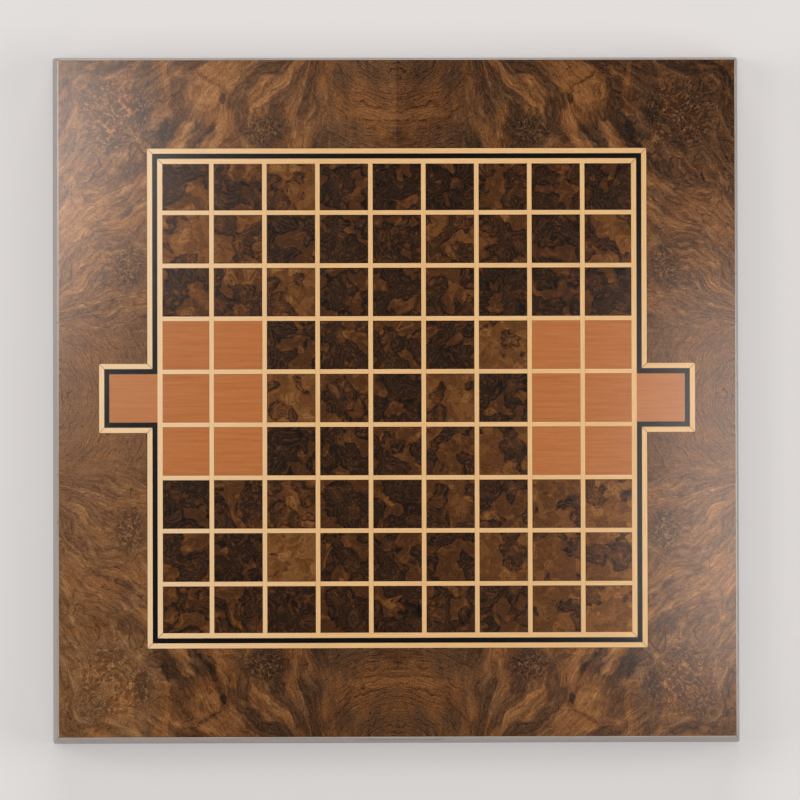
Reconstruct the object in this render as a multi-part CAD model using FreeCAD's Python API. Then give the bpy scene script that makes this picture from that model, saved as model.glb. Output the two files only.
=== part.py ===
import FreeCAD, Part
import math
import os

# A square game box. Its hinged lid is an inlaid playing board and its base holds the pieces in wells.
# Millimetres. +Z is up, +Y is towards the hinges, and the origin is under the middle of the box.

# Playing board: nine by nine squares with one goal square outside each of two opposite sides.
squares_per_side = 9
square = 35.5
edge_square = 34.2
grid_line = 3.3
border_line = 3.7
black_line = 3.75
burl_border = 64.8
goal_depth = 35.2
home_columns = 2
home_rows = 3

# Thin sheets glued to the lid core.
veneer = 0.6
edge_string_width = 1.3
edge_string_height = 1.5
arris = 0.4

# Heights.
foot_height = 3.0
base_height = 54.5
seam_gap = 0.5
lid_height = 20.0
batter = 0.0867
corner_radius = 2.0

# Lid.
core_thickness = 12.0
tongue_height = 4.0
tongue_length = 5.0
panel_play = 0.3
lining_thickness = 1.8
lining_play = 0.5

# Base walls, floor and liners.
wall_at_rim = 15.0
rail_setback = 0.5
floor_thickness = 6.0
floor_raise = 5.0
floor_groove = 6.0
liner_thickness = 4.0
lip_height = 4.5
lip_chamfer = 1.0
lip_rounding = 1.0
divider_thickness = 6.0
divider_height = 38.0
divider_rounding = 1.5
housing_depth = 1.5
side_bay_width = 108.0
side_wells = 3
pad_thickness = 2.5
pad_play = 0.4

# Loose tongues across the mitres.
key_thickness = 4.0
key_width = 11.0
key_inset = 6.5
base_key_height = 30.0
lid_key_height = 6.0
lid_key_raise = 2.5

# Butt hinges.
hinge_length = 60.0
hinge_spacing = 320.0
hinge_inset = 4.5
barrel_radius = 3.0
pin_radius = 1.25
pin_play = 0.05
leaf_thickness = 2.0
leaf_width = 8.6
knuckles = 5
knuckle_play = 0.2
barrel_play = 0.3
leaf_play = 0.1
groove_angle = 48.5

# Countersunk wood screws, three to a leaf.
screws_per_leaf = 3
screw_pitch = 20.0
screw_from_axis = 5.5
screw_head_radius = 2.1
screw_head_height = 1.1
screw_radius = 1.1
screw_length = 11.0
screw_tip = 2.5
screw_play = 0.05
slot_width = 0.6
slot_depth = 0.5

# Feet, rim bumpers and the cove for a thumb.
foot_radius = 9.0
foot_rounding = 0.8
bumper_radius = 4.0
bumper_depth = 1.0
bumper_spacing = 400.0
cove_radius = 8.0
cove_straight = 52.0

# How far a cutting shape runs past the face that it opens.
overrun = 1.0

# Places worked out from the sizes above.
inner_squares = squares_per_side - 2
grid_lines = squares_per_side - 1
field_half = (2 * edge_square + inner_squares * square + grid_lines * grid_line) / 2
black_half = field_half + border_line
light_half = black_half + black_line
outline_half = light_half + border_line
goal_half = square / 2
veneer_half = outline_half + burl_border
top_half = veneer_half + edge_string_width

rim_z = foot_height + base_height
lid_z = rim_z + seam_gap
top_z = lid_z + lid_height
veneer_z = top_z - veneer
core_z = veneer_z - core_thickness
backing_z = core_z - veneer
tongue_z = core_z + (core_thickness - tongue_height) / 2


def outer_half(z):
    """Half the width of the box at a height: the sides lean outwards towards the foot."""
    return top_half + (top_z - z) * batter


wall_half = outer_half(rim_z) - wall_at_rim
rail_half = wall_half + rail_setback
liner_half = wall_half - liner_thickness
floor_z = foot_height + floor_raise
well_z = floor_z + floor_thickness
divider_z = well_z + divider_height
lip_z = rim_z + lip_height
bay_x = liner_half - side_bay_width - divider_thickness / 2
axis_y = outer_half(rim_z) - hinge_inset
axis_z = rim_z + seam_gap / 2
far = 2 * outer_half(0)

SIDES = ("front", "right", "back", "left")
HINGE_SIDES = {"left": -hinge_spacing / 2, "right": hinge_spacing / 2}


def box(x0, x1, y0, y1, z0, z1):
    corner = FreeCAD.Vector(x0, y0, z0)
    return Part.makeBox(x1 - x0, y1 - y0, z1 - z0, corner)


def square_box(half, z0, z1):
    return box(-half, half, -half, half, z0, z1)


def plate(points, z0, z1):
    """A flat piece with straight sides, from its outline."""
    corners = [FreeCAD.Vector(x, y, z0) for x, y in points]
    outline = Part.makePolygon(corners + corners[:1])
    return Part.Face(outline).extrude(FreeCAD.Vector(0, 0, z1 - z0))


def rod_along_x(x0, x1, y, z, radius):
    start = FreeCAD.Vector(x0, y, z)
    return Part.makeCylinder(radius, x1 - x0, start, FreeCAD.Vector(1, 0, 0))


def turned(shape, degrees):
    copy = shape.copy()
    copy.rotate(FreeCAD.Vector(0, 0, 0), FreeCAD.Vector(0, 0, 1), degrees)
    return copy


def rounded_square(half, radius, z):
    """A square outline with its four corners rounded."""
    inner = half - radius
    bulge = inner + radius * math.sqrt(0.5)
    edges = []
    for quarter in range(4):
        start = FreeCAD.Vector(-inner, -half, z)
        end = FreeCAD.Vector(inner, -half, z)
        middle = FreeCAD.Vector(bulge, -bulge, z)
        finish = FreeCAD.Vector(half, -inner, z)
        line = Part.LineSegment(start, end).toShape()
        arc = Part.Arc(end, middle, finish).toShape()
        edges += [turned(line, 90 * quarter), turned(arc, 90 * quarter)]
    return Part.Wire(Part.__sortEdges__(edges))


def leaning_block(z0, z1, low_trim=0.0, high_trim=0.0):
    """The solid outer form of the box between two heights. A trim pulls that edge in."""
    low = rounded_square(outer_half(z0) - low_trim, corner_radius, z0)
    high = rounded_square(outer_half(z1) - high_trim, corner_radius, z1)
    return Part.makeLoft([low, high], True, True)


def front_sector(z0, z1):
    """Everything that lies between the two mitres at the front."""
    return plate([(0, 0), (-far, -far), (far, -far)], z0, z1)


def four_sides(front):
    """The front piece, and the same piece turned to the other three sides."""
    return {side: turned(front, 90 * number) for number, side in enumerate(SIDES)}


def hinge_groove():
    """The open V along the back edge of the seam, where the barrels lie and the lid comes to a stop."""
    reach = 4 * hinge_inset
    rise = reach * math.tan(math.radians(groove_angle))
    corners = [(0, 0), (reach, rise), (reach, -rise)]
    points = [FreeCAD.Vector(-far / 2, axis_y + y, axis_z + z) for y, z in corners]
    outline = Part.makePolygon(points + points[:1])
    return Part.Face(outline).extrude(FreeCAD.Vector(far, 0, 0))


def corner_keys(z0, z1, half, play=0.0):
    """Four flat tongues, one across each mitre, set in from the inner corner."""
    middle = (half + key_inset) * math.sqrt(2)
    across = key_thickness / 2 + play
    along = key_width / 2 + play
    key = box(middle - across, middle + across, -along, along, z0, z1)
    return [turned(key, 45 + 90 * quarter) for quarter in range(4)]


def cut_all(shape, tools):
    for tool in tools:
        shape = shape.cut(tool)
    return shape


def square_edges():
    """Where each row or column of squares starts and ends."""
    edges = []
    start = -field_half
    for number in range(squares_per_side):
        at_edge = number in (0, squares_per_side - 1)
        end = start + (edge_square if at_edge else square)
        edges.append((start, end))
        start = end + grid_line
    return edges


def is_home(column, row):
    """True for the squares of the paler wood in front of each goal."""
    near_goal = column < home_columns or column >= squares_per_side - home_columns
    first = (squares_per_side - home_rows) // 2
    return near_goal and first <= row < first + home_rows


def goal_outline(offset):
    """The board's outline with its two goals, this far outside the inner edge of the black line."""
    side = black_half + offset
    goal = goal_half + offset
    end = black_half + goal_depth + offset
    right = [(side, side), (side, goal), (end, goal), (end, -goal), (side, -goal), (side, -side)]
    left = [(-x, -y) for x, y in right]
    return right + left


def mitred_strips(offset, width):
    """Strips between two outlines, each cut off at the mitres where the line turns."""
    inner = goal_outline(offset)
    outer = goal_outline(offset + width)
    strips = []
    for here in range(len(inner)):
        after = (here + 1) % len(inner)
        corners = [inner[here], inner[after], outer[after], outer[here]]
        strips.append(plate(corners, veneer_z, top_z))
    return strips


def playing_field():
    """The squares and the pale grid between them."""
    edges = square_edges()
    burl = []
    home = []
    short_strips = []
    long_strips = []
    for column, (x0, x1) in enumerate(edges):
        for row, (y0, y1) in enumerate(edges):
            piece = box(x0, x1, y0, y1, veneer_z, top_z)
            if is_home(column, row):
                home.append(piece)
            else:
                burl.append(piece)
            if row < grid_lines:
                short_strips.append(box(x0, x1, y1, y1 + grid_line, veneer_z, top_z))
        if column < grid_lines:
            strip = box(x1, x1 + grid_line, -field_half, field_half, veneer_z, top_z)
            long_strips.append(strip)
    return {
        "burl_squares": burl,
        "home_squares": home,
        "grid_long_strips": long_strips,
        "grid_short_strips": short_strips,
    }


def board_lines():
    """The three lines round the field, and the two goal squares."""
    corner = [(-field_half, -field_half), (field_half, -field_half)]
    outer_corner = [(black_half, -black_half), (-black_half, -black_half)]
    front_line = plate(corner + outer_corner, veneer_z, top_z)
    near = black_half
    end = black_half + goal_depth
    right_goal = box(near, end, -goal_half, goal_half, veneer_z, top_z)
    return {
        "inner_light_line": list(four_sides(front_line).values()),
        "black_line": mitred_strips(0, black_line),
        "outer_light_line": mitred_strips(black_line, border_line),
        "goal_square_right": [right_goal],
        "goal_square_left": [turned(right_goal, 180)],
    }


def burl_leaves():
    """Eight mirrored leaves of veneer: two to a side, joined in the middle and mitred at the corners."""
    inside = outline_half
    out = veneer_half
    offset = black_line + border_line
    goal_out = goal_half + offset
    goal_end = black_half + goal_depth + offset
    plain = [(0, inside), (inside, inside), (out, out), (0, out)]
    goal_side = [(inside, inside), (inside, goal_out), (goal_end, goal_out), (goal_end, 0)]
    beside_goal = goal_side + [(out, 0), (out, out)]
    leaves = {}
    for end, y_sign in (("back", 1), ("front", -1)):
        for side, x_sign in (("left", -1), ("right", 1)):
            across = [(x * x_sign, y * y_sign) for x, y in plain]
            along = [(x * x_sign, y * y_sign) for x, y in beside_goal]
            leaves["burl_leaf_" + end + "_" + side] = [plate(across, veneer_z, top_z)]
            leaves["burl_leaf_" + side + "_" + end] = [plate(along, veneer_z, top_z)]
    return leaves


def lid_frame():
    """Four mitred rails round the core, with the thin edge strings let into their upper edge."""
    eased = leaning_block(lid_z, lid_z + arris, low_trim=arris)
    body = eased.fuse(leaning_block(lid_z + arris, top_z - edge_string_height))
    top = square_box(veneer_half, top_z - edge_string_height, veneer_z)
    inside = square_box(rail_half, lid_z, top_z)
    groove = square_box(rail_half + tongue_length, tongue_z, tongue_z + tongue_height)
    blank = body.fuse(top).removeSplitter().cut(inside).cut(groove)
    front = blank.common(front_sector(lid_z, top_z))
    keys = corner_keys(lid_z + lid_key_raise, lid_z + lid_key_raise + lid_key_height, rail_half)
    rails = {}
    for side, rail in four_sides(front).items():
        rails["lid_rail_" + side] = [cut_all(rail, keys)]
    return rails, keys


def edge_strings():
    low = leaning_block(top_z - edge_string_height, top_z - arris)
    high = leaning_block(top_z - arris, top_z, high_trim=arris)
    ring = low.fuse(high).cut(square_box(veneer_half, top_z - edge_string_height, top_z))
    front = ring.common(front_sector(top_z - edge_string_height, top_z))
    return list(four_sides(front).values())


def lid_panel():
    """The core with its tongue, the balancing veneer beneath it and the lining."""
    core = square_box(rail_half, core_z, veneer_z)
    tongue = square_box(rail_half + tongue_length - panel_play, tongue_z, tongue_z + tongue_height)
    lining_half = rail_half - lining_play
    return {
        "lid_core": [core.fuse(tongue).removeSplitter()],
        "lid_backing_veneer": [square_box(rail_half, backing_z, core_z)],
        "lid_lining": [square_box(lining_half, backing_z - lining_thickness, backing_z)],
    }


def base_walls():
    """Four mitred walls, grooved for the floor."""
    low = leaning_block(foot_height, foot_height + arris, low_trim=arris)
    high = leaning_block(rim_z - arris, rim_z, high_trim=arris)
    body = leaning_block(foot_height + arris, rim_z - arris).fuse(low).fuse(high)
    inside = square_box(wall_half, foot_height, rim_z)
    groove = square_box(wall_half + floor_groove, floor_z, well_z)
    blank = body.cut(inside).cut(groove)
    front = blank.common(front_sector(foot_height, rim_z))
    middle = (well_z + rim_z - leaf_thickness) / 2
    low = middle - base_key_height / 2
    keys = corner_keys(low, low + base_key_height, wall_half)
    walls = {}
    for side, wall in four_sides(front).items():
        walls["base_wall_" + side] = [cut_all(wall, keys)]
    return walls, keys


def thumb_cove():
    """A rounded hollow under the front edge of the lid, with ball ends."""
    y = -outer_half(rim_z)
    half = cove_straight / 2
    cove = rod_along_x(-half, half, y, rim_z, cove_radius)
    for x in (-half, half):
        ball = Part.makeSphere(cove_radius, FreeCAD.Vector(x, y, rim_z))
        cove = cove.fuse(ball)
    return cove


def liners():
    """Thin boards inside the walls. They stand above the rim and guide the lid as it closes."""
    front = box(-wall_half, wall_half, -wall_half, -liner_half, well_z, lip_z)
    front = round_top_edges(front, lip_rounding, [-liner_half])
    edge_y = -wall_half
    ease = [(edge_y, lip_z), (edge_y + lip_chamfer, lip_z), (edge_y, lip_z - lip_chamfer)]
    points = [FreeCAD.Vector(-wall_half, y, z) for y, z in ease]
    wedge = Part.Face(Part.makePolygon(points + points[:1]))
    front = front.cut(wedge.extrude(FreeCAD.Vector(2 * wall_half, 0, 0)))
    front = front.common(front_sector(well_z, lip_z))
    return {"liner_" + side: [board] for side, board in four_sides(front).items()}


def round_top_edges(board, radius, places):
    """Round the long top edges of a board along X that lie at these Y."""
    def wanted(edge):
        middle = edge.CenterOfMass
        at_top = abs(middle.z - board.BoundBox.ZMax) < 0.01
        return at_top and any(abs(middle.y - y) < 0.01 for y in places)

    return board.makeFillet(radius, [edge for edge in board.Edges if wanted(edge)])


def divider_board(x0, x1, y):
    """A divider along X with its upper edges rounded."""
    near = y - divider_thickness / 2
    back = y + divider_thickness / 2
    board = box(x0, x1, near, back, well_z, divider_z)
    return round_top_edges(board, divider_rounding, [near, back])


def bay_divisions():
    """The middle of each cross divider in a side bay, along Y."""
    pitch = 2 * liner_half / side_wells
    return [-liner_half + pitch * number for number in range(1, side_wells)]


def dividers():
    """Two long dividers, and the cross dividers housed between them and the liners."""
    half = divider_thickness / 2
    reach = liner_half + housing_depth
    made = {}
    for side, sign in (("left", -1), ("right", 1)):
        made["divider_long_" + side] = turned(divider_board(-reach, reach, sign * bay_x), -90)
        near = sign * (bay_x + half - housing_depth)
        ends = sorted([near, sign * reach])
        for number, y in enumerate(bay_divisions(), 1):
            name = "divider_cross_" + side + "_" + str(number)
            made[name] = divider_board(ends[0], ends[1], y)
    middle = bay_x - half + housing_depth
    made["divider_cross_middle"] = divider_board(-middle, middle, 0)
    return made


def wells():
    """The floor of each well between the dividers, as x0, x1, y0, y1."""
    half = divider_thickness / 2
    lines = [-liner_half - half] + bay_divisions() + [liner_half + half]
    found = {"left": [], "middle": [], "right": []}
    for low, high in zip(lines, lines[1:]):
        y0 = low + half
        y1 = high - half
        found["left"].append((-liner_half, -bay_x - half, y0, y1))
        found["right"].append((bay_x + half, liner_half, y0, y1))
    for y0, y1 in ((-liner_half, -half), (half, liner_half)):
        found["middle"].append((-bay_x + half, bay_x - half, y0, y1))
    return found


def well_pads():
    pads = {}
    for bay, floors in wells().items():
        made = []
        for x0, x1, y0, y1 in floors:
            sides = (x0 + pad_play, x1 - pad_play, y0 + pad_play, y1 - pad_play)
            made.append(box(*sides, well_z, well_z + pad_thickness))
        pads["well_pads_" + bay] = made
    return pads


def screw_places(middle):
    """The X of each screw in a leaf."""
    first = middle - screw_pitch * (screws_per_leaf - 1) / 2
    return [first + screw_pitch * number for number in range(screws_per_leaf)]


def screw(x, y, z, down, play=0.0):
    """A countersunk screw whose flat head lies at z and whose shank points down or up."""
    way = FreeCAD.Vector(0, 0, -1 if down else 1)
    head_at = FreeCAD.Vector(x, y, z)
    neck = screw_radius + play
    shank_length = screw_length - screw_tip
    head = Part.makeCone(screw_head_radius + play, neck, screw_head_height, head_at, way)
    shank = Part.makeCylinder(neck, shank_length, head_at, way)
    tip = Part.makeCone(neck, neck / 4, screw_tip + play, head_at + way * shank_length, way)
    return head.fuse(shank).fuse(tip).removeSplitter()


def slotted_screw(x, y, z, down):
    low, high = (z - slot_depth, z) if down else (z, z + slot_depth)
    reach = screw_head_radius + overrun
    slot = box(x - reach, x + reach, y - slot_width / 2, y + slot_width / 2, low, high)
    return screw(x, y, z, down).cut(slot)


def knuckle_spans(middle, turn):
    """Start and end of each knuckle that belongs to the base leaf (turn 0) or the lid leaf (turn 1)."""
    pitch = hinge_length / knuckles
    start = middle - hinge_length / 2
    return [(start + pitch * n, start + pitch * (n + 1)) for n in range(turn, knuckles, 2)]


def hinge_leaf(middle, on_lid):
    """A flat leaf with its share of the knuckles, bored for the pin and countersunk for screws."""
    own, other = (1, 0) if on_lid else (0, 1)
    low = lid_z if on_lid else rim_z - leaf_thickness
    half = hinge_length / 2
    leaf = box(middle - half, middle + half, axis_y - leaf_width, axis_y, low, low + leaf_thickness)
    for start, end in knuckle_spans(middle, other):
        room = rod_along_x(start - knuckle_play, end + knuckle_play, axis_y, axis_z,
                           barrel_radius + barrel_play)
        leaf = leaf.cut(room)
    for start, end in knuckle_spans(middle, own):
        outer_start = start if start <= middle - half else start + knuckle_play / 2
        outer_end = end if end >= middle + half else end - knuckle_play / 2
        leaf = leaf.fuse(rod_along_x(outer_start, outer_end, axis_y, axis_z, barrel_radius))
    bore_start = middle - half - overrun
    bore_end = middle + half + overrun
    bore = rod_along_x(bore_start, bore_end, axis_y, axis_z, pin_radius + pin_play)
    leaf = leaf.removeSplitter().cut(bore)
    face = lid_z if on_lid else rim_z
    for x in screw_places(middle):
        hole = screw(x, axis_y - screw_from_axis, face, not on_lid, screw_play)
        leaf = leaf.cut(hole)
    return leaf


def hinge_seats(on_lid):
    """What is cut out of the back wall or rail for both hinges: leaf beds, barrel room and screw holes."""
    seats = []
    low = lid_z if on_lid else rim_z - leaf_thickness
    face = lid_z if on_lid else rim_z
    half = hinge_length / 2 + leaf_play
    back = outer_half(0)
    for middle in HINGE_SIDES.values():
        start = middle - half
        end = middle + half
        edge = axis_y - leaf_width - leaf_play
        seats.append(box(start, end, edge, back, low, low + leaf_thickness))
        seats.append(rod_along_x(start, end, axis_y, axis_z, barrel_radius + barrel_play))
        for x in screw_places(middle):
            seats.append(screw(x, axis_y - screw_from_axis, face, not on_lid, screw_play))
    return seats


def hinge_parts():
    made = {}
    lid_screws = []
    base_screws = []
    for side, middle in HINGE_SIDES.items():
        half = hinge_length / 2
        made["hinge_leaf_lid_" + side] = [hinge_leaf(middle, True)]
        made["hinge_leaf_base_" + side] = [hinge_leaf(middle, False)]
        pin = rod_along_x(middle - half, middle + half, axis_y, axis_z, pin_radius)
        made["hinge_pin_" + side] = [pin]
        for x in screw_places(middle):
            y = axis_y - screw_from_axis
            lid_screws.append(slotted_screw(x, y, lid_z, False))
            base_screws.append(slotted_screw(x, y, rim_z, True))
    made["hinge_screws_lid"] = lid_screws
    made["hinge_screws_base"] = base_screws
    return made


def feet():
    place = (wall_half + outer_half(foot_height)) / 2
    foot = Part.makeCylinder(foot_radius, foot_height, FreeCAD.Vector(place, place, 0))
    rim = [edge for edge in foot.Edges if edge.BoundBox.ZMax < foot_height / 2]
    foot = foot.makeFillet(foot_rounding, rim)
    return [turned(foot, 90 * quarter) for quarter in range(4)]


def bumpers():
    """Small discs let into the front rim, which the closed lid rests on."""
    y = -wall_half - wall_at_rim / 2
    made = []
    for x in (-bumper_spacing / 2, bumper_spacing / 2):
        start = FreeCAD.Vector(x, y, rim_z - bumper_depth)
        made.append(Part.makeCylinder(bumper_radius, bumper_depth + seam_gap, start))
    return made


def build():
    """Every piece of the box by name, each a list of solids."""
    pieces = {}
    pieces.update(burl_leaves())
    pieces.update(board_lines())
    pieces.update(playing_field())
    pieces["edge_strings"] = edge_strings()
    pieces.update(lid_panel())

    rails, lid_keys = lid_frame()
    groove = hinge_groove()
    for side in ("left", "right", "back"):
        name = "lid_rail_" + side
        rails[name] = [rails[name][0].cut(groove)]
    rails["lid_rail_back"] = [cut_all(rails["lid_rail_back"][0], hinge_seats(True))]
    pieces.update(rails)
    pieces["lid_corner_keys"] = lid_keys

    walls, base_keys = base_walls()
    for side in ("left", "right", "back"):
        name = "base_wall_" + side
        walls[name] = [walls[name][0].cut(groove)]
    walls["base_wall_back"] = [cut_all(walls["base_wall_back"][0], hinge_seats(False))]
    front = walls["base_wall_front"][0].cut(thumb_cove())
    walls["base_wall_front"] = [cut_all(front, bumpers())]
    pieces.update(walls)
    pieces["base_corner_keys"] = base_keys
    floor_half = wall_half + floor_groove - panel_play
    pieces["base_floor"] = [square_box(floor_half, floor_z, well_z)]

    split = dividers()
    for name, board in liners().items():
        pieces[name] = [cut_all(board[0], split.values())]
    long_names = ("divider_long_left", "divider_long_right")
    crosses = [shape for name, shape in split.items() if name not in long_names]
    for name, shape in split.items():
        pieces[name] = [cut_all(shape, crosses) if name in long_names else shape]
    pieces.update(well_pads())

    pieces.update(hinge_parts())
    pieces["feet"] = feet()
    pieces["rim_bumpers"] = bumpers()
    return pieces


def main():
    os.makedirs("parts", exist_ok=True)
    pieces = build()
    for name, solids in pieces.items():
        for solid in solids:
            if not solid.isValid() or len(solid.Solids) != 1:
                print("not one sound solid:", name)
        shape = solids[0] if len(solids) == 1 else Part.makeCompound(solids)
        shape.exportStep("parts/" + name + ".step")
    print(len(pieces), "pieces, top half width", round(top_half, 2), "height", round(top_z, 2))


main()
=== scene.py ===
import math
import bpy
import bmesh
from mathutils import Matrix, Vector, noise as field


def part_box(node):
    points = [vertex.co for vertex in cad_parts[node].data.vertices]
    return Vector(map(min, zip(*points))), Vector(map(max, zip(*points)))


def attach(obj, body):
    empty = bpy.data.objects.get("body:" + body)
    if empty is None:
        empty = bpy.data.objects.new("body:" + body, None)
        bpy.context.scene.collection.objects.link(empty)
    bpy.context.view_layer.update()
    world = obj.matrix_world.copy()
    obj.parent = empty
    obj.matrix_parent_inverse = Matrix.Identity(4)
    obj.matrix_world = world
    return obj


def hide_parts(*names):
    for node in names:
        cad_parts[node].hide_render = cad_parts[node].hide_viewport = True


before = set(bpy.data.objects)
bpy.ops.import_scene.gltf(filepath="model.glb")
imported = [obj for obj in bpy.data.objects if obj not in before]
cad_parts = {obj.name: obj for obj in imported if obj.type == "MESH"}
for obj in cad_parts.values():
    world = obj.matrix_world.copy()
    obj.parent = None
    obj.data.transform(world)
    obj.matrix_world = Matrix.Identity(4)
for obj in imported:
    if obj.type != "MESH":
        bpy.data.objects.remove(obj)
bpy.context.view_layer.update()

MM = 0.001

# Sizes of the inlaid top, in millimetres, as the box itself has them.
SQUARE_PITCH = 38.8
FIELD_HALF = 171.65
BLACK_HALF = 175.35
LIGHT_HALF = 179.1
OUTLINE_HALF = 182.8
VENEER_HALF = 247.6
GOAL_END = 210.55
GOAL_HALF = 17.75
STRING = 3.75

# Roughness of the satin lacquer, least and most.
LACQUER = (0.155, 0.185)


class Value:
    """One output of a shader node. Sums on it add the Math nodes that work them out."""

    def __init__(self, tree, socket):
        self.tree = tree
        self.socket = socket

    def node(self, kind, inputs, output=0, stops=None, **settings):
        """Add any node: its settings first, then the values or links of its sockets."""
        made = self.tree.nodes.new("ShaderNode" + kind)
        for name, value in settings.items():
            setattr(made, name, value)
        if stops:
            ramp = made.color_ramp
            while len(ramp.elements) < len(stops):
                ramp.elements.new(0.5)
            for element, (position, colour) in zip(ramp.elements, stops):
                element.position = position
                element.color = tuple(colour) + (1.0,)
        for name, value in inputs.items():
            if isinstance(value, Value):
                self.tree.links.new(value.socket, made.inputs[name])
            else:
                made.inputs[name].default_value = value
        return Value(self.tree, made.outputs[output])

    def maths(self, operation, *values, clamp=False):
        inputs = dict(enumerate(values))
        return self.node("Math", inputs, operation=operation, use_clamp=clamp)

    def __add__(self, other):
        return self.maths("ADD", self, other)

    __radd__ = __add__

    def __sub__(self, other):
        return self.maths("SUBTRACT", self, other)

    def __rsub__(self, other):
        return self.maths("SUBTRACT", other, self)

    def __mul__(self, other):
        return self.maths("MULTIPLY", self, other)

    __rmul__ = __mul__

    def __truediv__(self, other):
        return self.maths("DIVIDE", self, other)

    def __rtruediv__(self, other):
        return self.maths("DIVIDE", other, self)

    def __pow__(self, other):
        return self.maths("POWER", self, other)

    def __neg__(self):
        return self * -1.0

    def __abs__(self):
        return self.maths("ABSOLUTE", self)

    def __gt__(self, other):
        return self.maths("GREATER_THAN", self, other)

    def __lt__(self, other):
        return self.maths("LESS_THAN", self, other)

    def at_least(self, other):
        return self.maths("MAXIMUM", self, other)

    def at_most(self, other):
        return self.maths("MINIMUM", self, other)

    def floor(self):
        return self.maths("FLOOR", self)

    def over_whole(self):
        """What is left over above the whole number below."""
        return self.maths("FRACT", self)

    def root(self):
        return self.maths("SQRT", self)

    def turn_from(self, other):
        """The angle whose two sides are this and the other."""
        return self.maths("ARCTAN2", self, other)

    def rise(self, low, high):
        """0 below low and 1 above high, smooth in between. It falls if low is the larger."""
        inputs = {0: self, 1: low, 2: high}
        if low > high:
            inputs = {0: self, 1: high, 2: low, 3: 1.0, 4: 0.0}
        return self.node("MapRange", inputs, interpolation_type="SMOOTHSTEP")

    def stretch(self, low, high, to_low, to_high):
        """Straight from one span to another, held at its ends."""
        return self.node("MapRange", {0: self, 1: low, 2: high, 3: to_low, 4: to_high})

    def axis(self, number):
        return self.node("SeparateXYZ", {0: self}, output=number)

    def vector(self, x, y, z):
        return self.node("CombineXYZ", {0: x, 1: y, 2: z})

    def moved(self, other):
        return self.node("VectorMath", {0: self, 1: other}, operation="ADD")

    def scaled(self, factor):
        return self.node("VectorMath", {0: self, 3: factor}, operation="SCALE")

    def times(self, factors):
        return self.node("VectorMath", {0: self, 1: factors}, operation="MULTIPLY")

    def cloud(self, scale, detail=2.0, roughness=0.5, distortion=0.0):
        """Soft noise from 0 to 1 at this place."""
        inputs = {"Vector": self, "Scale": scale, "Detail": detail,
                  "Roughness": roughness, "Distortion": distortion}
        return self.node("TexNoise", inputs)

    def drift(self, scale, amount, detail=1.0):
        """This place pushed about by soft noise."""
        inputs = {"Vector": self, "Scale": scale, "Detail": detail, "Roughness": 0.5}
        push = self.node("TexNoise", inputs, output=1).moved((-0.5, -0.5, -0.5))
        return self.moved(push.scaled(amount))

    def eyes(self, scale, output=0):
        """Distance to the nearest of many scattered points, in steps of their spacing."""
        return self.node("TexVoronoi", {"Vector": self, "Scale": scale}, output=output)

    def reach_of(self, middle_x, middle_y, reach_x, reach_y, tilt=0.0):
        """Distance from a middle, where 1 is on the edge of an oval about it, tilted in degrees."""
        off = self.moved((-middle_x, -middle_y, 0.0))
        if tilt:
            inputs = {"Vector": off, "Angle": -math.radians(tilt)}
            off = off.node("VectorRotate", inputs, rotation_type="Z_AXIS")
        off = off.times((1.0 / reach_x, 1.0 / reach_y, 0.0))
        return off.node("VectorMath", {0: off}, output=1, operation="LENGTH")

    def blend(self, first, second, kind="MIX"):
        """A colour between two others, with this value as the share of the second."""
        inputs = {0: self, 6: first, 7: second}
        return self.node("Mix", inputs, output=2, data_type="RGBA", blend_type=kind)

    def ramp(self, stops):
        return self.node("ValToRGB", {0: self}, stops=stops)


def new_material(name, **constants):
    """A material with one main shader, and its place in millimetres."""
    material = bpy.data.materials.new(name)
    material.use_nodes = True
    tree = material.node_tree
    shader = tree.nodes["Principled BSDF"]
    for socket, value in constants.items():
        shader.inputs[socket.replace("_", " ")].default_value = value
    start = Value(tree, None)
    place = start.node("TexCoord", {}, output="Object").scaled(1000.0)
    return material, shader, place


def connect(shader, **sockets):
    for name, value in sockets.items():
        shader.id_data.links.new(value.socket, shader.inputs[name.replace("_", " ")])


def relief(height, distance, strength=0.5):
    """A bump from a height of 0 to 1, this many metres deep."""
    inputs = {"Height": height, "Strength": strength, "Distance": distance}
    return height.node("Bump", inputs)


def colour4(red, green, blue):
    return (red, green, blue, 1.0)


def joint_shade(colour, mask, depth=0.75):
    """Darken a colour where a glue joint runs."""
    return (mask * depth).blend(colour, colour4(0.012, 0.007, 0.004))


# Marks of the burl in one leaf: middle along the side and in from the edge, half length,
# half width, tilt in degrees, how much lighter and how much redder.
LEAF_MARKS = [
    (143.0, 24.0, 15.0, 8.5, -12.0, 0.09, 0.4),
    (140.0, 31.0, 9.0, 7.0, 30.0, 0.05, 0.3),
    (158.5, 57.0, 15.0, 5.0, 50.0, 0.15, 0.7),
    (127.5, 50.0, 17.0, 4.2, 68.0, 0.09, 0.6),
    (135.0, 61.5, 13.0, 3.4, 0.0, 0.10, 0.8),
    (98.5, 30.0, 16.0, 1.9, 44.0, 0.15, 0.5),
    (95.0, 14.0, 8.0, 1.5, 52.0, 0.07, 0.3),
    (135.0, 9.0, 13.0, 3.6, -28.0, 0.06, 0.3),
    (169.0, 20.0, 22.0, 2.8, 92.0, 0.08, 0.8),
    (126.5, 28.5, 3.4, 2.4, 20.0, -0.20, -0.6),
    (141.5, 55.0, 12.0, 3.8, 44.0, -0.10, -0.5),
    (172.0, 53.0, 14.0, 2.8, 62.0, -0.12, -0.6),
    (137.0, 14.5, 14.0, 1.0, -34.0, -0.12, -0.4),
    (183.5, 24.0, 8.5, 28.0, 0.0, -0.06, -0.8),
    (10.0, 40.0, 28.0, 4.5, 0.0, 0.06, 0.5),
    (0.0, 61.0, 14.0, 8.0, 0.0, -0.09, -0.2),
    (229.0, 9.0, 10.0, 6.0, 10.0, 0.08, 0.0),
]


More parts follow.
